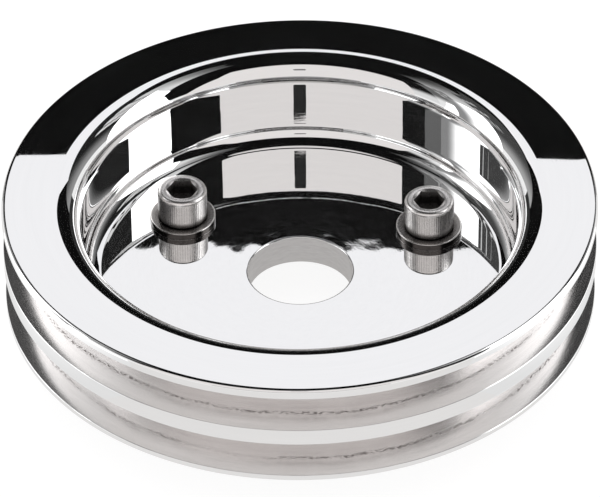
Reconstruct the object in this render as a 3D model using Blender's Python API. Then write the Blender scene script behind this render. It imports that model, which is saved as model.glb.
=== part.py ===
"""Double-groove V-belt crankshaft pulley, with its cap screws and washers.

Units are metres and +Z is up. The crankshaft's axis is the Z axis. The rear hub face, which
seats on the crankshaft damper, lies in the plane Z = 0, and the dished front faces +Z.
"""
import math

import bmesh
import bpy
from mathutils import Vector

MM = 0.001
INCH = 0.0254

# Rim: two grooves for V-belts, with a land in front, between and behind.
RIM_RADIUS = 3.325 * INCH
FRONT_LAND = 3.0 * MM
RIB_LAND = 5.0 * MM
REAR_LAND = 2.0 * MM
GROOVE_WIDTH = 11.3 * MM
GROOVE_DEPTH = 11.0 * MM
GROOVE_ANGLE = math.radians(36.0)
GROOVE_COUNT = 2
RIM_WIDTH = FRONT_LAND + GROOVE_COUNT * GROOVE_WIDTH + (GROOVE_COUNT - 1) * RIB_LAND + REAR_LAND
FRONT_EDGE_RADIUS = 0.75 * MM
REAR_EDGE_CHAMFER = 0.5 * MM

# Web and hub: the dish's floor, with the hub pad behind it.
WEB_THICKNESS = 9.5 * MM
POCKET_DEPTH = 27.0 * MM
POCKET_RADIUS = 62.0 * MM
POCKET_FILLET = 5.2 * MM
LIP_RADIUS = 7.3 * MM
HUB_PAD_RADIUS = 52.0 * MM
HUB_PAD_CHAMFER = 0.5 * MM
BORE_RADIUS = 14.93 * MM
BORE_FRONT_EDGE = 1.0 * MM
BORE_REAR_EDGE = 0.5 * MM
FRONT_Z = WEB_THICKNESS + POCKET_DEPTH
RIM_REAR_Z = FRONT_Z - RIM_WIDTH

# Bolt holes: three on a circle, of which the first two hold screws.
BOLT_CIRCLE_RADIUS = 3.25 * INCH / 2
BOLT_HOLE_RADIUS = 13 / 32 * INCH / 2
BOLT_HOLE_COUNT = 3
FIRST_BOLT_ANGLE = math.radians(25.2)
BOLT_STEP = math.tau / BOLT_HOLE_COUNT
SCREW_NAMES = ("right", "left")

# Screws and washers: 3/8 inch socket head cap screws on plain washers.
SEAT_GAP = 0.25 * MM
WASHER_RADIUS = 0.75 * INCH / 2
WASHER_HOLE_RADIUS = BOLT_HOLE_RADIUS
WASHER_THICKNESS = 1.6 * MM
WASHER_CHAMFER = 0.35 * MM
WASHER_Z = WEB_THICKNESS + SEAT_GAP
SCREW_Z = WASHER_Z + WASHER_THICKNESS + SEAT_GAP
SHANK_RADIUS = 3 / 8 * INCH / 2
SHANK_LENGTH = 1.0 * INCH
SHANK_TIP_CHAMFER = 0.9 * MM
HEAD_RADIUS = 9 / 16 * INCH / 2
HEAD_HEIGHT = 0.37 * INCH
HEAD_TOP_CHAMFER = 0.6 * MM
HEAD_FOOT_CHAMFER = 0.3 * MM
SOCKET_ACROSS_FLATS = 5 / 16 * INCH
SOCKET_DEPTH = 4.8 * MM

# Facets.
PULLEY_STEPS = 96
HOLE_STEPS = 32
SCREW_STEPS = 40
WASHER_STEPS = 48
CUT_MARGIN = 2.0 * MM
SHARP_ANGLE = math.radians(30.0)


def clear_scene():
    for item in list(bpy.data.objects):
        bpy.data.objects.remove(item, do_unlink=True)


def make_material(name, color, roughness, metallic):
    material = bpy.data.materials.new(name)
    material.use_nodes = True
    shader = material.node_tree.nodes["Principled BSDF"]
    shader.inputs["Base Color"].default_value = (*color, 1.0)
    shader.inputs["Roughness"].default_value = roughness
    shader.inputs["Metallic"].default_value = metallic
    return material


def add_object(name, mesh, location=(0.0, 0.0, 0.0)):
    item = bpy.data.objects.new(name, mesh)
    item.location = location
    bpy.context.scene.collection.objects.link(item)
    return item


def arc(centre_r, centre_z, radius, start, end, steps):
    """Points (r, z) along an arc, both ends included; angles in degrees from +r towards +Z."""
    points = []
    for index in range(steps + 1):
        angle = math.radians(start + (end - start) * index / steps)
        points.append((centre_r + radius * math.cos(angle), centre_z + radius * math.sin(angle)))
    return points


def turn(name, outline, steps, closed):
    """Turn an outline of (r, z) points about the Z axis into one closed mesh."""
    shape = bmesh.new()
    corners = [shape.verts.new((r, 0.0, z)) for r, z in outline]
    edges = [shape.edges.new(pair) for pair in zip(corners, corners[1:])]
    if closed:
        edges.append(shape.edges.new((corners[-1], corners[0])))
    bmesh.ops.spin(
        shape,
        geom=corners + edges,
        cent=Vector((0.0, 0.0, 0.0)),
        axis=Vector((0.0, 0.0, 1.0)),
        angle=math.tau,
        steps=steps,
        use_merge=True,
    )
    bmesh.ops.remove_doubles(shape, verts=shape.verts, dist=0.01 * MM)
    bmesh.ops.recalc_face_normals(shape, faces=shape.faces)
    mesh = bpy.data.meshes.new(name)
    shape.to_mesh(mesh)
    shape.free()
    mesh.shade_smooth()
    mesh.set_sharp_from_angle(angle=SHARP_ANGLE)
    return mesh


def groove_outline(top_z):
    """One belt groove, from its front corner to its rear corner."""
    flank = GROOVE_DEPTH * math.tan(GROOVE_ANGLE / 2)
    root_radius = RIM_RADIUS - GROOVE_DEPTH
    return [
        (RIM_RADIUS, top_z),
        (root_radius, top_z - flank),
        (root_radius, top_z - GROOVE_WIDTH + flank),
        (RIM_RADIUS, top_z - GROOVE_WIDTH),
    ]


def pulley_outline():
    """Section of the pulley: up the bore, over the dish and the rim, and back along the rear."""
    front_roll = BORE_RADIUS + BORE_FRONT_EDGE
    points = [(BORE_RADIUS + BORE_REAR_EDGE, 0.0), (BORE_RADIUS, BORE_REAR_EDGE)]
    points += arc(front_roll, WEB_THICKNESS - BORE_FRONT_EDGE, BORE_FRONT_EDGE, 180, 90, 3)
    fillet_r = POCKET_RADIUS - POCKET_FILLET
    points += arc(fillet_r, WEB_THICKNESS + POCKET_FILLET, POCKET_FILLET, -90, 0, 6)
    points += arc(POCKET_RADIUS + LIP_RADIUS, FRONT_Z - LIP_RADIUS, LIP_RADIUS, 180, 90, 8)
    edge_r = RIM_RADIUS - FRONT_EDGE_RADIUS
    points += arc(edge_r, FRONT_Z - FRONT_EDGE_RADIUS, FRONT_EDGE_RADIUS, 90, 0, 3)
    groove_top = FRONT_Z - FRONT_LAND
    for index in range(GROOVE_COUNT):
        points += groove_outline(groove_top - index * (GROOVE_WIDTH + RIB_LAND))
    points += [
        (RIM_RADIUS, RIM_REAR_Z + REAR_EDGE_CHAMFER),
        (RIM_RADIUS - REAR_EDGE_CHAMFER, RIM_REAR_Z),
        (HUB_PAD_RADIUS, RIM_REAR_Z),
        (HUB_PAD_RADIUS, HUB_PAD_CHAMFER),
        (HUB_PAD_RADIUS - HUB_PAD_CHAMFER, 0.0),
    ]
    return points


def bolt_place(index, height):
    angle = FIRST_BOLT_ANGLE + index * BOLT_STEP
    return Vector((BOLT_CIRCLE_RADIUS * math.cos(angle), BOLT_CIRCLE_RADIUS * math.sin(angle), height))


def add_cutter(name, radius, height, steps, location, target, turned=0.0):
    """A straight cutter standing on its location, taken out of the target by a Boolean."""
    shape = bmesh.new()
    bmesh.ops.create_cone(
        shape, cap_ends=True, segments=steps, radius1=radius, radius2=radius, depth=height
    )
    bmesh.ops.translate(shape, verts=shape.verts, vec=(0.0, 0.0, height / 2))
    mesh = bpy.data.meshes.new(name)
    shape.to_mesh(mesh)
    shape.free()
    cutter = add_object(name, mesh, location)
    cutter.rotation_euler = (0.0, 0.0, turned)
    cutter.hide_render = True
    cutter.display_type = "WIRE"
    cut = target.modifiers.new(name, "BOOLEAN")
    cut.operation = "DIFFERENCE"
    cut.solver = "EXACT"
    cut.object = cutter


def build_pulley(material):
    mesh = turn("pulley_body", pulley_outline(), PULLEY_STEPS, closed=True)
    mesh.materials.append(material)
    pulley = add_object("pulley_body", mesh)
    for index in range(BOLT_HOLE_COUNT):
        add_cutter(
            f"bolt_hole_cutter_{index + 1}",
            BOLT_HOLE_RADIUS,
            WEB_THICKNESS + 2 * CUT_MARGIN,
            HOLE_STEPS,
            bolt_place(index, -CUT_MARGIN),
            pulley,
        )


def screw_outline():
    """Section of a cap screw: from its tip up the shank and over the head, seated at Z = 0."""
    return [
        (0.0, -SHANK_LENGTH),
        (SHANK_RADIUS - SHANK_TIP_CHAMFER, -SHANK_LENGTH),
        (SHANK_RADIUS, -SHANK_LENGTH + SHANK_TIP_CHAMFER),
        (SHANK_RADIUS, 0.0),
        (HEAD_RADIUS - HEAD_FOOT_CHAMFER, 0.0),
        (HEAD_RADIUS, HEAD_FOOT_CHAMFER),
        (HEAD_RADIUS, HEAD_HEIGHT - HEAD_TOP_CHAMFER),
        (HEAD_RADIUS - HEAD_TOP_CHAMFER, HEAD_HEIGHT),
        (0.0, HEAD_HEIGHT),
    ]


def build_screw(side, index, material):
    name = f"{side}_cap_screw"
    mesh = turn(name, screw_outline(), SCREW_STEPS, closed=False)
    mesh.materials.append(material)
    place = bolt_place(index, SCREW_Z)
    screw = add_object(name, mesh, place)
    add_cutter(
        f"{side}_socket_cutter",
        SOCKET_ACROSS_FLATS / math.sqrt(3),
        SOCKET_DEPTH + CUT_MARGIN,
        6,
        place + Vector((0.0, 0.0, HEAD_HEIGHT - SOCKET_DEPTH)),
        screw,
        turned=math.pi / 6,
    )


def washer_outline():
    """Section of a washer, lying on Z = 0, with its outer edge chamfered in front."""
    return [
        (WASHER_HOLE_RADIUS, 0.0),
        (WASHER_HOLE_RADIUS, WASHER_THICKNESS),
        (WASHER_RADIUS - WASHER_CHAMFER, WASHER_THICKNESS),
        (WASHER_RADIUS, WASHER_THICKNESS - WASHER_CHAMFER),
        (WASHER_RADIUS, 0.0),
    ]


def build_washer(side, index, material):
    name = f"{side}_washer"
    mesh = turn(name, washer_outline(), WASHER_STEPS, closed=True)
    mesh.materials.append(material)
    add_object(name, mesh, bolt_place(index, WASHER_Z))


def main():
    clear_scene()
    aluminium = make_material("polished_aluminium", (0.91, 0.91, 0.90), 0.08, 1.0)
    screw_steel = make_material("screw_steel", (0.68, 0.67, 0.66), 0.28, 1.0)
    washer_steel = make_material("washer_steel", (0.72, 0.71, 0.70), 0.22, 1.0)
    build_pulley(aluminium)
    for index, side in enumerate(SCREW_NAMES):
        build_washer(side, index, washer_steel)
        build_screw(side, index, screw_steel)


main()
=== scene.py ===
"""The looks of a polished double-groove crankshaft pulley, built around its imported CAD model."""
import math
from collections import namedtuple

import bmesh
import bpy
from mathutils import Matrix, Vector


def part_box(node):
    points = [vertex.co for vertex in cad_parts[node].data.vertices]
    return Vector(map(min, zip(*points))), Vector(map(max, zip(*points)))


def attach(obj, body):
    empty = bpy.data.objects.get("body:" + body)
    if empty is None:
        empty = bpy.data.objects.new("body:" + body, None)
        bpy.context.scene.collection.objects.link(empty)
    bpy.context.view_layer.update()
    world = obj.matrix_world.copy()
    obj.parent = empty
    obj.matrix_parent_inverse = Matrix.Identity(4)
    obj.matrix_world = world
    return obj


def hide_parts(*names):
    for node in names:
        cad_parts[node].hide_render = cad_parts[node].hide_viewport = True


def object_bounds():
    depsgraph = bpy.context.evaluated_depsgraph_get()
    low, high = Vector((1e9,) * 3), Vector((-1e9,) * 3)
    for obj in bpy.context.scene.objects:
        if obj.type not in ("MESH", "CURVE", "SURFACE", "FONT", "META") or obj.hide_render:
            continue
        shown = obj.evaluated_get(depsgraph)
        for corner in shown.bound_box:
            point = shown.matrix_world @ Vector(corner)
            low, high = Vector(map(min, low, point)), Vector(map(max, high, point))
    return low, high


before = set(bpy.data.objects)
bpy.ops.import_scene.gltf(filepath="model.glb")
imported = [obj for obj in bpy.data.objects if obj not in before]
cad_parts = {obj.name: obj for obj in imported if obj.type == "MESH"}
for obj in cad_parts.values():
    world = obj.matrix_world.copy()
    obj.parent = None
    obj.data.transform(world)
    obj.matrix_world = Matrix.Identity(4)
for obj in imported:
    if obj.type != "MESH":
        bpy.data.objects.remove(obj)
CAD_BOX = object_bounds()

MM = 0.001
INCH = 0.0254

# Rim: the CAD model gives its radius and its front plane.
RIM_RADIUS, _, FRONT_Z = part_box("pulley_body")[1]
FRONT_LAND = 3.0 * MM
RIB_LAND = 5.0 * MM
RIM_REAR_Z = 3.9 * MM
GROOVE_WIDTH = 11.3 * MM
GROOVE_DEPTH = 11.0 * MM
GROOVE_ANGLE = math.radians(36.0)
GROOVE_ROOT_FILLET = 0.8 * MM
WORN_RING_DEPTH = 5.3 * MM
FRONT_EDGE_RADIUS = 1.15 * MM
LAND_EDGE_RADIUS = 0.25 * MM

# Dish, web and hub.
WEB_FRONT_Z = 9.5 * MM
POCKET_RADIUS = 62.0 * MM
POCKET_FILLET = 5.2 * MM
LIP_RADIUS = 7.7 * MM
HUB_PAD_RADIUS = 52.0 * MM
BORE_RADIUS = 14.93 * MM
BORE_FRONT_EDGE = 0.55 * MM
SMALL_CHAMFER = 0.5 * MM

# Bolt holes: three, evenly spaced, of which the CAD model's screws fill two.
BOLT_HOLE_COUNT = 3
BOLT_HOLE_RADIUS = 13 / 32 * INCH / 2
BOLT_HOLE_CHAMFER = 0.35 * MM

# Cap screws, 3/8-24, and their washers.
SCREW_SIDES = ("right", "left")
SHANK_RADIUS = 3 / 8 * INCH / 2
SHANK_LENGTH = 1.0 * INCH
SHANK_TIP_RADIUS = 3.86 * MM
THREAD_PITCH = INCH / 24
THREAD_DEPTH = 0.62 * MM
THREAD_RUN_OUT = 1.2 * MM
THREAD_ROWS = 10
HEAD_RADIUS = 9 / 16 * INCH / 2
HEAD_HEIGHT = 0.37 * INCH
HEAD_EDGE_RADIUS = 1.3 * MM
HEAD_FOOT_CHAMFER = 0.35 * MM
SMOOTH_BAND_ABOVE_KNURL = 0.25 * MM
SMOOTH_BAND_BELOW_KNURL = 0.15 * MM
KNURL_TEETH = 60
KNURL_PHASES = (0.0, 0.7, 0.85)  # of a tooth: its crest's two edges and the valley
KNURL_DEPTH = 0.07 * MM
SOCKET_APOTHEM = 5 / 16 * INCH / 2
SOCKET_DEPTH = 4.8 * MM
SOCKET_POINT_DEPTH = 1.0 * MM
COUNTERSINK_ANGLE = math.radians(30.0)
COUNTERSINK_EDGE = 0.05 * MM
COUNTERSINK_RADIUS = 4.75 * MM
WASHER_RADIUS = 0.75 * INCH / 2
WASHER_CHAMFER = 0.38 * MM
WASHER_SMALL_EDGE = 0.15 * MM
SEAT_CLEARANCE = 0.05 * MM

# Facets.
PULLEY_STEPS = 576
HOLE_STEPS = 96
WASHER_STEPS = 192
SHARP_ANGLE = math.radians(25.0)

# Camera: its distance from the middle of the front face, and small turns off that line.
CAMERA_DISTANCE = 1421.6 * MM
CAMERA_ELEVATION = math.radians(38.557)
CAMERA_TILT = -0.0104
CAMERA_ROLL = 0.00964
CAMERA_LENS = 301.27

# Studio: radiance of its cards, and where they hang, in metres from the pulley's axis.
WARM_PAPER = (0.83, 0.80, 0.79)
BACK_CARD = (0.955, 0.955, 0.975)
SIDE_CARD = (2.1, 2.1, 2.11)
SHELL_RADIUS = 3.2
FRONT_PAPER_Y = -1.15
LENS_Y = -1.12
BACK_CARD_Y = 0.72
SIDE_CARD_X = 1.0
FLOOR_GAP = 0.2 * MM
FLOOR_STEPS = 96


# ---------------------------------------------------------------- small tools


def arc(centre_r, centre_z, radius, start, end, steps):
    """Points (r, z) along an arc, both ends included; angles in degrees from +r towards +Z."""
    points = []
    for index in range(steps + 1):
        angle = math.radians(start + (end - start) * index / steps)
        points.append((centre_r + radius * math.cos(angle), centre_z + radius * math.sin(angle)))
    return points


def add_object(name, mesh, materials):
    for material in materials:
        mesh.materials.append(material)
    item = bpy.data.objects.new(name, mesh)
    bpy.context.scene.collection.objects.link(item)
    return item


def mesh_from(shape, name):
    """Close a bmesh into a smooth mesh whose corners stay sharp."""
    bmesh.ops.recalc_face_normals(shape, faces=shape.faces)
    for face in shape.faces:
        face.smooth = True
    mesh = bpy.data.meshes.new(name)
    shape.to_mesh(mesh)
    shape.free()
    mesh.set_sharp_from_angle(angle=SHARP_ANGLE)
    return mesh


def even_normals(item):
    """Keep flat faces optically flat beside their rounded edges."""
    weighted = item.modifiers.new("even_normals", "WEIGHTED_NORMAL")
    weighted.mode = "FACE_AREA"
    weighted.weight = 50
    weighted.keep_sharp = True


def bridge(shape, lower, upper, slot_index=0):
    """Quads between two rings of the same number of vertices."""
    for step, corner in enumerate(lower):
        beside = (step + 1) % len(lower)
        face = shape.faces.new((corner, lower[beside], upper[beside], upper[step]))
        face.material_index = slot_index


def circle(shape, r, z, steps):
    ring = []
    for step in range(steps):
        angle = math.tau * step / steps
        ring.append(shape.verts.new((r * math.cos(angle), r * math.sin(angle), z)))
    return ring


def lathe(name, runs, steps, hollow=True):
    """A turned mesh. Each run is (material index, points), and joins the next run's start.

    A hollow outline closes on itself round the axis; a solid one is capped at both ends.
    """
    outline = []
    slots = []
    for slot_index, points in runs:
        for point in points:
            if outline and math.dist(outline[-1], point) < 0.001 * MM:
                slots[-1] = slot_index
                continue
            outline.append(point)
            slots.append(slot_index)
    shape = bmesh.new()
    rings = [circle(shape, r, z, steps) for r, z in outline]
    for index, ring in enumerate(rings[:-1]):
        bridge(shape, ring, rings[index + 1], slots[index])
    if hollow:
        bridge(shape, rings[-1], rings[0], slots[-1])
    else:
        shape.faces.new(rings[0]).material_index = slots[0]
        shape.faces.new(rings[-1]).material_index = slots[-1]
    return mesh_from(shape, name)


# ---------------------------------------------------------------- node tools

MIX_DARK, MIX_LIGHT, MIX_RESULT = 6, 7, 2  # a Mix node's sockets for colours
Spot = namedtuple("Spot", "place x y z r")


def add_node(tree, kind, inputs=None, **settings):
    """A shader node; each input is a number, a colour or another node's output."""
    made = tree.nodes.new(kind)
    for name, value in settings.items():
        setattr(made, name, value)
    for socket, value in (inputs or {}).items():
        if isinstance(value, bpy.types.NodeSocket):
            tree.links.new(value, made.inputs[socket])
        else:
            made.inputs[socket].default_value = value
    return made


def calculate(tree, operation, first, second=0.0):
    return add_node(tree, "ShaderNodeMath", {0: first, 1: second}, operation=operation).outputs[0]


def remap(tree, value, low, high, from_low=0.0, from_high=1.0, interpolation="LINEAR"):
    """The value carried from one range to another, and kept inside it."""
    made = tree.nodes.new("ShaderNodeMapRange")
    made.interpolation_type = interpolation
    tree.links.new(value, made.inputs["Value"])
    made.inputs["From Min"].default_value = from_low
    made.inputs["From Max"].default_value = from_high
    made.inputs["To Min"].default_value = low
    made.inputs["To Max"].default_value = high
    return made.outputs["Result"]


def noise(tree, vector, scale, detail=2.0, roughness=0.5):
    inputs = {"Vector": vector, "Scale": scale, "Detail": detail, "Roughness": roughness}
    return add_node(tree, "ShaderNodeTexNoise", inputs).outputs["Fac"]


def own_coordinates(tree):
    """The piece's own coordinates, and from them the radius about its axis."""
    place = add_node(tree, "ShaderNodeTexCoord").outputs["Object"]
    parts = add_node(tree, "ShaderNodeSeparateXYZ", {0: place}).outputs
    x_squared = calculate(tree, "MULTIPLY", parts["X"], parts["X"])
    y_squared = calculate(tree, "MULTIPLY", parts["Y"], parts["Y"])
    r = calculate(tree, "SQRT", calculate(tree, "ADD", x_squared, y_squared))
    return Spot(place, parts["X"], parts["Y"], parts["Z"], r)


def turning_vector(tree, spacing, sweep):
    """Coordinates that run quickly across the turning marks and slowly along them."""
    spot = own_coordinates(tree)
    across = calculate(tree, "DIVIDE", calculate(tree, "ADD", spot.r, spot.z), spacing)
    round_x = calculate(tree, "MULTIPLY", calculate(tree, "DIVIDE", spot.x, spot.r), sweep)
    round_y = calculate(tree, "MULTIPLY", calculate(tree, "DIVIDE", spot.y, spot.r), sweep)
    return add_node(tree, "ShaderNodeCombineXYZ", {0: across, 1: round_x, 2: round_y}).outputs[0]


def tinted(tree, factor, dark, light):
    """A colour between dark and light by the factor."""
    inputs = {"Factor": factor, MIX_DARK: (*dark, 1.0), MIX_LIGHT: (*light, 1.0)}
    return add_node(tree, "ShaderNodeMix", inputs, data_type="RGBA").outputs[MIX_RESULT]


def new_material(name):
    material = bpy.data.materials.new(name)
    material.use_nodes = True
    tree = material.node_tree
    return material, tree, tree.nodes["Principled BSDF"]


def set_metal(tree, shader, color, roughness):
    """Make a shader's surface bare metal of this colour and roughness."""
    tree.links.new(color, shader.inputs["Base Color"])
    tree.links.new(roughness, shader.inputs["Roughness"])
    shader.inputs["Metallic"].default_value = 1.0


def bump(tree, shader, height, distance):
    inputs = {"Height": height, "Distance": distance, "Strength": 1.0}
    made = add_node(tree, "ShaderNodeBump", inputs)
    tree.links.new(made.outputs["Normal"], shader.inputs["Normal"])


# ---------------------------------------------------------------- materials

def polished_aluminium(name, gloss, haze, sweep, wave):
    """Buffed aluminium: a mirror with faint circular buffing marks.

    Gloss is its least and greatest roughness, haze how much of it is dulled, sweep how often a
    mark begins anew round the axis, and wave the marks' height.
    """
    material, tree, shader = new_material(name)
    fine = noise(tree, turning_vector(tree, 0.35 * MM, sweep), 1.0, 3.0, 0.6)
    broad = noise(tree, turning_vector(tree, 1.6 * MM, sweep), 1.0, 3.0, 0.6)
    swell = noise(tree, turning_vector(tree, 6.0 * MM, sweep * 0.35), 1.0, 0.0)
    patches = noise(tree, own_coordinates(tree).place, 45.0, 3.0)
    streaks = calculate(tree, "MULTIPLY", remap(tree, fine, 0.0, 1.0, 0.42, 0.78), patches)
    color = tinted(tree, broad, (0.89, 0.89, 0.892), (0.93, 0.93, 0.93))
    roughness = remap(tree, streaks, gloss[0], gloss[1], 0.0, 0.6)
    metallic = remap(tree, streaks, 1.0 - haze[0], 1.0 - haze[1], 0.0, 0.6)
    ripples = calculate(tree, "ADD", fine, calculate(tree, "MULTIPLY", broad, 2.5))
    waves = calculate(tree, "ADD", ripples, calculate(tree, "MULTIPLY", swell, 34.0))
    set_metal(tree, shader, color, roughness)
    tree.links.new(metallic, shader.inputs["Metallic"])
    bump(tree, shader, waves, wave)
    return material


def turned_aluminium():
    """The grooves, bore and rear as the lathe left them, with a worn ring on each groove's flanks."""
    material, tree, shader = new_material("turned_aluminium")
    spot = own_coordinates(tree)
    fine = noise(tree, turning_vector(tree, 0.16 * MM, 1.5), 1.0, 3.0, 0.7)
    coarse = noise(tree, turning_vector(tree, 0.7 * MM, 5.0), 1.0, 3.0, 0.6)
    wander = remap(tree, noise(tree, spot.place, 70.0, 3.0, 0.6), -0.35 * MM, 0.35 * MM, 0.3, 0.7)
    ring_radius = calculate(tree, "ADD", wander, RIM_RADIUS - WORN_RING_DEPTH)
    off_ring = calculate(tree, "ABSOLUTE", calculate(tree, "SUBTRACT", spot.r, ring_radius))
    worn = remap(tree, off_ring, 1.0, 0.0, 0.1 * MM, 0.7 * MM)
    dashes = noise(tree, turning_vector(tree, 0.22 * MM, 75.0), 1.0, 3.0, 0.7)
    stretches = remap(tree, noise(tree, spot.place, 32.0, 2.0), 0.25, 1.0, 0.38, 0.53)
    broken = calculate(tree, "MULTIPLY", remap(tree, dashes, 0.0, 1.0, 0.46, 0.56), stretches)
    scuff = calculate(tree, "MULTIPLY", worn, broken)
    clear_of_wear_and_painted_shade = calculate(tree, "SUBTRACT", 1.0, calculate(tree, "MULTIPLY", scuff, 0.9))
    shade = calculate(tree, "MULTIPLY", clear_of_wear_and_painted_shade, remap(tree, coarse, 0.90, 1.0, 0.25, 0.7))
    color = tinted(tree, shade, (0.14, 0.12, 0.115), (0.90, 0.885, 0.88))
    dulled = calculate(tree, "MULTIPLY", scuff, 0.25)
    roughness = calculate(tree, "ADD", remap(tree, fine, 0.16, 0.26, 0.25, 0.75), dulled)
    ridges = calculate(tree, "ADD", fine, calculate(tree, "MULTIPLY", coarse, 3.0))
    set_metal(tree, shader, color, roughness)
    bump(tree, shader, ridges, 0.001 * MM)
    return material


def screw_steel():
    """Stainless steel, with painted shade in the socket, on the knurled side and deeper in its
    valleys, and at the head's foot.
    """
    material, tree, shader = new_material("screw_stainless")
    spot = own_coordinates(tree)
    grain = noise(tree, spot.place, 2600.0, 3.0, 0.6)
    stain = noise(tree, spot.place, 420.0, 3.0)
    # Painted shade: the knurled side is coloured darker than the top, and darker still in the knurl's
    # valleys.
    on_side = calculate(tree, "GREATER_THAN", spot.r, HEAD_RADIUS - 1.3 * KNURL_DEPTH)
    crest = HEAD_RADIUS - 0.2 * KNURL_DEPTH
    knurled = remap(tree, spot.r, 0.5, 0.2, HEAD_RADIUS - KNURL_DEPTH, crest)
    # Painted shade: the socket's colour darkens with depth, most towards its floor.
    in_socket = calculate(tree, "LESS_THAN", spot.r, COUNTERSINK_RADIUS - COUNTERSINK_EDGE)
    above_seat = calculate(tree, "GREATER_THAN", spot.z, HEAD_HEIGHT / 4)
    deep = remap(tree, spot.z, 0.88, 0.0, HEAD_HEIGHT - 2.6 * MM, HEAD_HEIGHT - 0.7 * MM)
    painted_socket_shade = calculate(tree, "MULTIPLY", deep, calculate(tree, "MULTIPLY", in_socket, above_seat))
    # Painted shade: the head's colour darkens towards its foot, where it sits on the washer.
    on_head = calculate(tree, "GREATER_THAN", spot.z, -0.1 * MM)
    low = remap(tree, spot.z, 0.85, 0.0, 0.3 * MM, 2.6 * MM)
    foot = calculate(tree, "MULTIPLY", low, on_head)
    dark = calculate(tree, "ADD", painted_socket_shade, calculate(tree, "MULTIPLY", knurled, on_side))
    # The painted shade of the socket, the side and the foot, taken out of the steel's colour.
    clear_of_wear_and_painted_shade = calculate(tree, "SUBTRACT", 1.0, calculate(tree, "MAXIMUM", dark, foot))
    light = calculate(tree, "MULTIPLY", clear_of_wear_and_painted_shade, remap(tree, stain, 0.84, 1.0, 0.3, 0.7))
    color = tinted(tree, light, (0.03, 0.028, 0.027), (0.97, 0.945, 0.93))
    set_metal(tree, shader, color, remap(tree, grain, 0.25, 0.35, 0.3, 0.7))
    bump(tree, shader, grain, 0.001 * MM)
    return material


def washer_steel():
    """Stainless steel with its light painted in: a top coloured dark as painted shade, more painted
    shade round the head, a painted highlight on the chamfer and painted shade on the side.
    """
    material, tree, shader = new_material("washer_stainless")
    spot = own_coordinates(tree)
    grain = noise(tree, spot.place, 1900.0, 3.0, 0.6)
    rings = noise(tree, turning_vector(tree, 0.25 * MM, 1.2), 1.0, 2.0)
    chamfer_starts = WASHER_RADIUS - 1.3 * WASHER_CHAMFER
    chamfer_shines = WASHER_RADIUS - 0.8 * WASHER_CHAMFER
    chamfer = remap(tree, spot.r, 0.0, 1.0, chamfer_starts, chamfer_shines)
    # Painted shade: the washer's outer side is coloured darkest of all.
    side = calculate(tree, "GREATER_THAN", spot.r, WASHER_RADIUS - 0.06 * MM)
    # Painted shade on the top, darkest where it meets the head.
    painted_shade_under_head = remap(tree, spot.r, 0.16, 0.0, HEAD_RADIUS, HEAD_RADIUS + 1.4 * MM)
    # Painted highlight: the chamfer's colour is raised towards the outer edge.
    painted_highlight = calculate(tree, "MULTIPLY", chamfer, 0.85)
    # Painted shade: the top's own colour is kept dark, with faint turning rings in it.
    bright = calculate(tree, "ADD", remap(tree, rings, 0.12, 0.26, 0.3, 0.7), painted_highlight)
    dark = calculate(tree, "ADD", painted_shade_under_head, calculate(tree, "MULTIPLY", side, 1.1))
    shade = calculate(tree, "SUBTRACT", bright, dark)
    color = tinted(tree, shade, (0.07, 0.063, 0.06), (0.78, 0.76, 0.745))
    dull = remap(tree, grain, 0.22, 0.32, 0.3, 0.7)
    roughness = calculate(tree, "SUBTRACT", dull, calculate(tree, "MULTIPLY", chamfer, 0.08))
    set_metal(tree, shader, color, roughness)
    bump(tree, shader, grain, 0.001 * MM)
    return material


# ---------------------------------------------------------------- pulley

POLISHED, TURNED, BUFFED = 0, 1, 2


def groove_runs(top_z):
    """One belt groove between its two lands, with broken corners and a rounded root."""
    half = math.degrees(GROOVE_ANGLE / 2)
    turn = 90 - half
    corner = LAND_EDGE_RADIUS
    corner_reach = corner * math.tan(math.radians(turn / 2))
    flank = GROOVE_DEPTH * math.tan(GROOVE_ANGLE / 2)
    fillet = GROOVE_ROOT_FILLET
    fillet_r = RIM_RADIUS - GROOVE_DEPTH + fillet
    inset = fillet * math.tan(math.radians(turn / 2))
    bottom_z = top_z - GROOVE_WIDTH
    front_corner = arc(RIM_RADIUS - corner, top_z + corner_reach, corner, 0, -turn, 4)
    rear_corner = arc(RIM_RADIUS - corner, bottom_z - corner_reach, corner, turn, 0, 4)
    front_root = arc(fillet_r, top_z - flank - inset, fillet, 90 + half, 180, 5)
    rear_root = arc(fillet_r, bottom_z + flank + inset, fillet, 180, 270 - half, 5)
    return [
        (POLISHED, front_corner),
        (TURNED, [front_corner[-1], *front_root, *rear_root]),
        (POLISHED, rear_corner),
    ]


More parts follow.
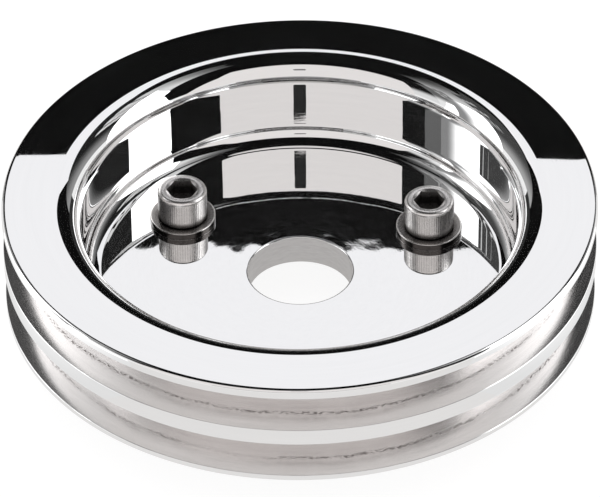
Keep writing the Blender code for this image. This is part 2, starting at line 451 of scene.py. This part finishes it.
def pulley_runs():
    """Section of the pulley: up the bore, over the dish and the rim, and back along the rear."""
    bore_roll = BORE_RADIUS + BORE_FRONT_EDGE
    edge_r = RIM_RADIUS - FRONT_EDGE_RADIUS
    fillet_r = POCKET_RADIUS - POCKET_FILLET
    front_groove = FRONT_Z - FRONT_LAND
    rear_groove = front_groove - GROOVE_WIDTH - RIB_LAND
    rear_z = RIM_REAR_Z
    bore_edge = arc(bore_roll, WEB_FRONT_Z - BORE_FRONT_EDGE, BORE_FRONT_EDGE, 180, 90, 10)
    fillet = arc(fillet_r, WEB_FRONT_Z + POCKET_FILLET, POCKET_FILLET, -90, 0, 36)
    return [
        (TURNED, [(BORE_RADIUS + SMALL_CHAMFER, 0.0), (BORE_RADIUS, SMALL_CHAMFER)]),
        (POLISHED, bore_edge),
        (BUFFED, bore_edge[-1:]),
        (POLISHED, fillet),
        (POLISHED, arc(POCKET_RADIUS + LIP_RADIUS, FRONT_Z - LIP_RADIUS, LIP_RADIUS, 180, 90, 48)),
        (POLISHED, arc(edge_r, FRONT_Z - FRONT_EDGE_RADIUS, FRONT_EDGE_RADIUS, 90, 0, 12)),
        *groove_runs(front_groove),
        *groove_runs(rear_groove),
        (TURNED, [(RIM_RADIUS, rear_z + SMALL_CHAMFER), (RIM_RADIUS - SMALL_CHAMFER, rear_z)]),
        (TURNED, [(HUB_PAD_RADIUS, rear_z), (HUB_PAD_RADIUS, SMALL_CHAMFER)]),
        (TURNED, [(HUB_PAD_RADIUS - SMALL_CHAMFER, 0.0)]),
    ]


def screw_axis(side):
    """Where a cap screw's axis stands, and the height of its seat, from the CAD model's box."""
    low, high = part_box(f"{side}_cap_screw")
    return Vector(((low[0] + high[0]) / 2, (low[1] + high[1]) / 2, low[2] + SHANK_LENGTH))


def bolt_hole_cutter(place):
    """A drill's shape, wider at both faces of the web, where the hole is chamfered."""
    flare = BOLT_HOLE_CHAMFER
    margin = 1.0 * MM
    wide = BOLT_HOLE_RADIUS + flare + margin
    outline = [
        (wide, -margin),
        (BOLT_HOLE_RADIUS, flare),
        (BOLT_HOLE_RADIUS, WEB_FRONT_Z - flare),
        (wide, WEB_FRONT_Z + margin),
    ]
    mesh = lathe("bolt_hole_cutter", [(TURNED, outline)], HOLE_STEPS, hollow=False)
    cutter = add_object("bolt_hole_cutter", mesh, [])
    cutter.location = place
    return cutter


def drill(item, cutters):
    """Cut the cutters out of the item's mesh for good, and remove them."""
    for cutter in cutters:
        cut = item.modifiers.new(cutter.name, "BOOLEAN")
        cut.operation = "DIFFERENCE"
        cut.solver = "EXACT"
        cut.object = cutter
    shown = item.evaluated_get(bpy.context.evaluated_depsgraph_get())
    drilled = bpy.data.meshes.new_from_object(shown)
    drilled.set_sharp_from_angle(angle=SHARP_ANGLE)
    item.modifiers.clear()
    item.data = drilled
    for cutter in cutters:
        bpy.data.objects.remove(cutter, do_unlink=True)


def build_pulley(materials):
    mesh = lathe("pulley_polished", pulley_runs(), PULLEY_STEPS)
    pulley = add_object("pulley_polished", mesh, materials)
    first = screw_axis(SCREW_SIDES[0])
    cutters = []
    for index in range(BOLT_HOLE_COUNT):
        turn = Matrix.Rotation(math.tau * index / BOLT_HOLE_COUNT, 3, "Z")
        place = turn @ Vector((first.x, first.y, 0.0))
        cutters.append(bolt_hole_cutter(place))
    drill(pulley, cutters)
    even_normals(pulley)
    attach(pulley, "pulley")
    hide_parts("pulley_body")


# ---------------------------------------------------------------- screws and washers

def tooth_angle(step):
    """Angle of a vertex of the knurled head: two on each tooth's crest and one in each valley."""
    tooth, phase = divmod(step, len(KNURL_PHASES))
    return math.tau * (tooth + KNURL_PHASES[phase]) / KNURL_TEETH


def head_ring(shape, r, z, knurled=False):
    ring = []
    for step in range(KNURL_TEETH * len(KNURL_PHASES)):
        angle = tooth_angle(step)
        in_valley = step % len(KNURL_PHASES) == len(KNURL_PHASES) - 1
        reach = r - KNURL_DEPTH if knurled and in_valley else r
        ring.append(shape.verts.new((reach * math.cos(angle), reach * math.sin(angle), z)))
    return ring


def hexagon_radius(angle):
    """Distance from the axis to the socket's wall, with corners at 0 and every 60 degrees."""
    off_middle = (angle % (math.tau / 6)) - math.tau / 12
    return SOCKET_APOTHEM / math.cos(off_middle)


def socket_ring(shape, z, countersunk=False):
    ring = []
    for step in range(KNURL_TEETH * len(KNURL_PHASES)):
        angle = tooth_angle(step)
        r = hexagon_radius(angle)
        dip = (COUNTERSINK_RADIUS - r) * math.tan(COUNTERSINK_ANGLE) if countersunk else 0.0
        ring.append(shape.verts.new((r * math.cos(angle), r * math.sin(angle), z - dip)))
    return ring


def thread_radius(angle, z):
    """Radius of a right-hand thread, fading out below the head and chamfered at the tip."""
    phase = (z / THREAD_PITCH - angle / math.tau) % 1.0
    slope = min(1.0, max(0.0, abs(phase - 0.5) * 2.6 - 0.2))
    fade = min(1.0, max(0.0, (-z - THREAD_RUN_OUT) / THREAD_PITCH))
    r = SHANK_RADIUS - THREAD_DEPTH * slope * fade
    return min(r, SHANK_TIP_RADIUS + (z + SHANK_LENGTH))


def shank_ring(shape, z):
    ring = []
    for step in range(KNURL_TEETH):
        angle = math.tau * step / KNURL_TEETH
        r = thread_radius(angle, z)
        ring.append(shape.verts.new((r * math.cos(angle), r * math.sin(angle), z)))
    return ring


def join_shank_to_head(shape, shank, foot):
    """The head's flat underside, where each shank vertex meets three of the head's."""
    count = len(KNURL_PHASES)
    for step, corner in enumerate(shank):
        beside = shank[(step + 1) % len(shank)]
        fan = [foot[(step * count + index) % len(foot)] for index in range(count + 1)]
        for first, second in zip(fan, fan[1:]):
            shape.faces.new((corner, first, second))
        shape.faces.new((corner, fan[-1], beside))


def cap_screw_mesh():
    """A knurled socket head cap screw, seated at Z = 0 with its shank below."""
    shape = bmesh.new()
    rows = round(SHANK_LENGTH / THREAD_PITCH * THREAD_ROWS)
    shank = [shank_ring(shape, -SHANK_LENGTH * (1 - row / rows)) for row in range(rows + 1)]
    for lower, upper in zip(shank, shank[1:]):
        bridge(shape, lower, upper)
    shape.faces.new(shank[0])
    edge = HEAD_EDGE_RADIUS
    knurl_top = HEAD_HEIGHT - edge - SMOOTH_BAND_ABOVE_KNURL
    knurl_foot = HEAD_FOOT_CHAMFER + SMOOTH_BAND_BELOW_KNURL
    socket_floor = HEAD_HEIGHT - SOCKET_DEPTH
    head = [
        head_ring(shape, HEAD_RADIUS - HEAD_FOOT_CHAMFER, 0.0),
        head_ring(shape, HEAD_RADIUS, HEAD_FOOT_CHAMFER),
        head_ring(shape, HEAD_RADIUS, knurl_foot, knurled=True),
        head_ring(shape, HEAD_RADIUS, knurl_top, knurled=True),
    ]
    for r, z in arc(HEAD_RADIUS - edge, HEAD_HEIGHT - edge, edge, 0, 90, 8):
        head.append(head_ring(shape, r, z))
    head += [
        head_ring(shape, COUNTERSINK_RADIUS + 0.12 * MM, HEAD_HEIGHT),
        head_ring(shape, COUNTERSINK_RADIUS, HEAD_HEIGHT - COUNTERSINK_EDGE),
        socket_ring(shape, HEAD_HEIGHT - COUNTERSINK_EDGE, countersunk=True),
        socket_ring(shape, socket_floor),
        head_ring(shape, SOCKET_APOTHEM * 0.9, socket_floor - 0.1 * MM),
    ]
    for lower, upper in zip(head, head[1:]):
        bridge(shape, lower, upper)
    join_shank_to_head(shape, shank[-1], head[0])
    drill_point = shape.verts.new((0.0, 0.0, socket_floor - SOCKET_POINT_DEPTH))
    floor = head[-1]
    for step, corner in enumerate(floor):
        shape.faces.new((corner, floor[(step + 1) % len(floor)], drill_point))
    return mesh_from(shape, "cap_screw")


def washer_mesh(thickness):
    """A flat washer lying on Z = 0, chamfered round its front edge."""
    edge = WASHER_CHAMFER
    small = WASHER_SMALL_EDGE
    hole = BOLT_HOLE_RADIUS
    outline = [
        (hole + small, 0.0),
        (hole, small),
        (hole, thickness - small),
        (hole + small, thickness),
        *arc(WASHER_RADIUS - edge, thickness - edge, edge, 80, 10, 4),
        *arc(WASHER_RADIUS - small, small, small, 0, -90, 3),
    ]
    return lathe("washer", [(0, outline)], WASHER_STEPS)


def build_screw(side, material):
    screw = add_object(f"{side}_knurled_screw", cap_screw_mesh(), [material])
    screw.location = screw_axis(side)
    even_normals(screw)
    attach(screw, f"{side}_screw")
    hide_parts(f"{side}_cap_screw")


def build_washer(side, material):
    place = screw_axis(side)
    thickness = place.z - WEB_FRONT_Z - 2 * SEAT_CLEARANCE
    washer = add_object(f"{side}_flat_washer", washer_mesh(thickness), [material])
    washer.location = (place.x, place.y, WEB_FRONT_Z + SEAT_CLEARANCE)
    even_normals(washer)
    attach(washer, f"{side}_washer")
    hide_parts(f"{side}_washer")


# ---------------------------------------------------------------- studio

def glow(name, radiance, fade):
    """Light of a card. A fade is (axis, dark end, bright end, least strength)."""
    material = bpy.data.materials.new(name)
    material.use_nodes = True
    tree = material.node_tree
    tree.nodes.clear()
    light = add_node(tree, "ShaderNodeEmission", {"Color": (*radiance, 1.0), "Strength": 1.0})
    if fade:
        axis, dark_end, bright_end, least = fade
        place = add_node(tree, "ShaderNodeTexCoord").outputs["Object"]
        along = add_node(tree, "ShaderNodeSeparateXYZ", {0: place}).outputs[axis]
        strength = remap(tree, along, least, 1.0, dark_end, bright_end, "SMOOTHSTEP")
        tree.links.new(strength, light.inputs["Strength"])
    output = add_node(tree, "ShaderNodeOutputMaterial")
    tree.links.new(light.outputs[0], output.inputs["Surface"])
    return material


def hang(name, radiance, corners, faces, fade=None):
    """A card of the studio, which only the polished metal sees."""
    mesh = bpy.data.meshes.new(name)
    mesh.from_pydata(corners, [], faces)
    card = add_object(name, mesh, [glow(name, radiance, fade)])
    card.visible_camera = False
    card.visible_diffuse = False
    card.visible_shadow = False


def flat_card(name, radiance, corners, fade=None):
    hang(name, radiance, corners, [tuple(range(len(corners)))], fade)


def height_at(elevation):
    """Height of a point of the studio's shell at an elevation in degrees."""
    return SHELL_RADIUS * math.sin(math.radians(elevation))


def sky_card(name, radiance, azimuths, elevations, radius, fade=None):
    """A part of a sphere round the object; azimuth 0 is on the camera's side and 90 on the right."""
    columns = max(1, round((azimuths[1] - azimuths[0]) / 5))
    rows = max(1, round((elevations[1] - elevations[0]) / 5))
    corners = []
    for row in range(rows + 1):
        elevation = math.radians(elevations[0] + (elevations[1] - elevations[0]) * row / rows)
        for column in range(columns + 1):
            azimuth = math.radians(azimuths[0] + (azimuths[1] - azimuths[0]) * column / columns)
            across = radius * math.cos(elevation)
            corners.append((
                across * math.sin(azimuth),
                -across * math.cos(azimuth),
                radius * math.sin(elevation),
            ))
    faces = []
    for row in range(rows):
        for column in range(columns):
            corner = row * (columns + 1) + column
            faces.append((corner, corner + 1, corner + columns + 2, corner + columns + 1))
    hang(name, radiance, corners, faces, fade)


def grey(level):
    return (level, level, level)


def build_ceiling():
    """The dark room all round the pulley, its pale horizon, and the parts of it that glow."""
    near = SHELL_RADIUS - 0.1
    all_round = (-180, 180)
    sky_card("dark_ceiling", grey(0.004), all_round, (12, 89.9), SHELL_RADIUS)
    sky_card("light_horizon", grey(0.92), (-140, 140), (-3, 12), SHELL_RADIUS)
    sky_card("dark_horizon", grey(0.03), (140, 220), (-3, 12), SHELL_RADIUS)
    sky_card("grey_horizon", grey(0.30), (-30, 30), (-1, 8), near)
    low_to_middle = ("Z", height_at(36), height_at(14))
    sky_card("dim_back_right", grey(0.30), (104, 148), (12, 60), near, (*low_to_middle, 0.05))
    sky_card("dim_back_left", grey(0.40), (-148, -112), (12, 58), near, (*low_to_middle, 0.15))
    left_fade = ("Z", height_at(35), height_at(22), 0.16)
    sky_card("left_gap", grey(0.85), (-92, -72), (10, 52), near, left_fade)
    dark_fade = ("Z", height_at(33), height_at(20), 0.01)
    sky_card("left_dark_gap", grey(0.75), (-72, -57), (10, 52), near, dark_fade)
    right_fade = ("Z", height_at(76), height_at(52), 0.0)
    sky_card("right_glow", grey(0.75), (76, 128), (40, 76), near, right_fade)
    upper_fade = ("Z", height_at(66), height_at(42), 0.0)
    sky_card("left_glow", grey(0.65), (-128, -80), (38, 66), near, upper_fade)


def build_front_paper():
    """The paper on the camera's side, and before it the camera's dark outline in two parts."""
    paper = FRONT_PAPER_Y
    flat_card("front_paper", WARM_PAPER, [
        (-1.84, paper, 0.16), (1.90, paper, 0.16), (1.07, paper, 1.26), (0.98, paper, 1.99),
        (-1.84, paper, 1.99),
    ])
    flat_card("lens_below", grey(0.02), [
        (-0.07, LENS_Y, 0.80), (0.04, LENS_Y, 0.80), (0.055, LENS_Y, 0.892),
        (0.055, LENS_Y, 0.914), (-0.08, LENS_Y, 0.914), (-0.08, LENS_Y, 0.892),
    ])
    flat_card("lens_above", grey(0.02), [
        (-0.075, LENS_Y, 0.941), (0.052, LENS_Y, 0.941), (0.052, LENS_Y, 0.962),
        (0.035, LENS_Y, 0.978), (-0.06, LENS_Y, 0.978), (-0.075, LENS_Y, 0.962),
    ])


def build_side_cards():
    """White cards on both sides of the pulley, the left one dim towards the camera."""
    left = -SIDE_CARD_X
    flat_card("left_card", SIDE_CARD, [
        (left, -0.10, 0.07), (left, 0.47, 0.07), (left, 0.47, 1.08), (left, 0.3, 1.03),
        (left, -0.10, 0.95),
    ], ("Y", -0.03, 0.20, 0.13))
    behind = left - 1.0 * MM
    flat_card("left_low_card", SIDE_CARD, [
        (behind, -0.27, 0.07), (behind, 0.2, 0.07), (behind, 0.2, 0.50), (behind, -0.10, 0.57),
        (behind, -0.20, 0.52),
    ])
    flat_card("right_card", SIDE_CARD, [
        (1.287, -0.655, 0.07), (0.549, 0.178, 0.07), (0.549, 0.178, 1.0), (0.93, -0.251, 1.0),
        (0.941, -0.264, 0.74), (1.04, -0.377, 0.62),
    ])


def build_floor_lights():
    """The light that the side cards throw on the floor, as the belt grooves see it."""
    ground = CAD_BOX[0][2] - 1.5 * FLOOR_GAP
    for side, way in (("left", -1.0), ("right", 1.0)):
        flat_card(f"{side}_floor_light", grey(1.8), [
            (0.09 * way, -0.085, ground), (0.2 * way, -0.15, ground), (1.6 * way, -0.6, ground),
            (1.6 * way, 0.9, ground), (0.2 * way, 0.1, ground), (0.09 * way, 0.02, ground),
        ], ("X", 0.095 * way, 0.16 * way, 0.45))


def build_back_card():
    """The card behind the pulley, whose lower edge is mirrored across the front face."""
    back = BACK_CARD_Y
    flat_card("back_card", BACK_CARD, [
        (-0.336, back, 0.69), (-0.13, back, 0.584), (0.13, back, 0.590), (0.416, back, 0.55),
        (0.416, back, 1.27), (0.0, back, 1.08), (-0.336, back, 0.85),
    ])


def floor_disc(name, radius, height, material):
    mesh = bpy.data.meshes.new(name)
    corners = []
    for step in range(FLOOR_STEPS):
        angle = math.tau * step / FLOOR_STEPS
        corners.append((radius * math.cos(angle), radius * math.sin(angle), height))
    mesh.from_pydata(corners, [], [tuple(range(FLOOR_STEPS))])
    floor = add_object(name, mesh, [material])
    return floor


def one_sided(tree, shader):
    """Show a surface from above only, so that the object can be seen from below."""
    behind = add_node(tree, "ShaderNodeNewGeometry").outputs["Backfacing"]
    clear = add_node(tree, "ShaderNodeBsdfTransparent").outputs[0]
    mixed = add_node(tree, "ShaderNodeMixShader", {0: behind, 1: shader, 2: clear})
    tree.links.new(mixed.outputs[0], tree.nodes["Material Output"].inputs["Surface"])


def build_floor():
    """White paper just below the screws' tips, and the paper that the metal sees there, dimmed by a
    painted shadow under the pulley.
    """
    low = CAD_BOX[0][2] - FLOOR_GAP
    paper, tree, shader = new_material("floor_paper")
    shader.inputs["Base Color"].default_value = (0.25, 0.25, 0.25, 1.0)
    shader.inputs["Roughness"].default_value = 0.9
    shader.inputs["Specular IOR Level"].default_value = 0.0
    shader.inputs["Emission Color"].default_value = (1.0, 1.0, 1.0, 1.0)
    shader.inputs["Emission Strength"].default_value = 0.84
    one_sided(tree, shader.outputs[0])
    seen = floor_disc("floor", SHELL_RADIUS * 2, low, paper)
    seen.visible_glossy = False

    shaded = bpy.data.materials.new("shaded_paper")
    shaded.use_nodes = True
    tree = shaded.node_tree
    distance = own_coordinates(tree).r
    # Painted shadow: this paper glows least under the pulley and more past its rim.
    painted_shadow_under_pulley = remap(tree, distance, 0.48, 0.81, RIM_RADIUS * 0.5, RIM_RADIUS * 1.15, "SMOOTHSTEP")
    beyond = remap(tree, distance, 0.0, 0.2, RIM_RADIUS * 2, RIM_RADIUS * 8, "SMOOTHSTEP")
    strength = calculate(tree, "ADD", painted_shadow_under_pulley, beyond)
    looks = {"Color": (1.0, 0.985, 0.975, 1.0), "Strength": strength}
    light = add_node(tree, "ShaderNodeEmission", looks)
    one_sided(tree, light.outputs[0])
    mirrored = floor_disc("mirrored_floor", SHELL_RADIUS, low - FLOOR_GAP, shaded)
    mirrored.visible_camera = False
    mirrored.visible_diffuse = False
    mirrored.visible_shadow = False


def build_world():
    world = bpy.data.worlds.new("studio")
    world.use_nodes = True
    background = world.node_tree.nodes["Background"]
    background.inputs["Color"].default_value = (1.0, 1.0, 1.0, 1.0)
    background.inputs["Strength"].default_value = 1.0
    world.cycles_visibility.glossy = False
    bpy.context.scene.world = world
    bpy.context.scene.view_settings.view_transform = "Standard"


def build_camera():
    back = Vector((0.0, -math.cos(CAMERA_ELEVATION), math.sin(CAMERA_ELEVATION)))
    place = Vector((0.0, 0.0, FRONT_Z)) + back * CAMERA_DISTANCE
    ahead = -back
    right = Vector((1.0, 0.0, 0.0))
    up = right.cross(ahead)
    tilt = Matrix.Rotation(CAMERA_TILT, 3, right)
    ahead = tilt @ ahead
    up = tilt @ up
    roll = Matrix.Rotation(CAMERA_ROLL, 3, ahead)
    right = roll @ right
    up = roll @ up
    camera = bpy.data.objects.new("camera", bpy.data.cameras.new("camera"))
    camera.data.lens = CAMERA_LENS
    camera.data.sensor_width = 36.0
    camera.data.clip_end = 20.0
    basis = Matrix((right, up, -ahead)).transposed()
    camera.matrix_world = Matrix.Translation(place) @ basis.to_4x4()
    bpy.context.scene.collection.objects.link(camera)
    bpy.context.scene.camera = camera


def main():
    build_camera()
    build_world()
    build_floor()
    build_ceiling()
    build_front_paper()
    build_side_cards()
    build_floor_lights()
    build_back_card()
    build_pulley([
        polished_aluminium("mirror_aluminium", (0.006, 0.022), (0.001, 0.012), 2.2, 0.00003 * MM),
        turned_aluminium(),
        polished_aluminium("buffed_web", (0.008, 0.028), (0.001, 0.03), 9.0, 0.0005 * MM),
    ])
    steel = screw_steel()
    sheet = washer_steel()
    for side in SCREW_SIDES:
        build_washer(side, sheet)
        build_screw(side, steel)


main()
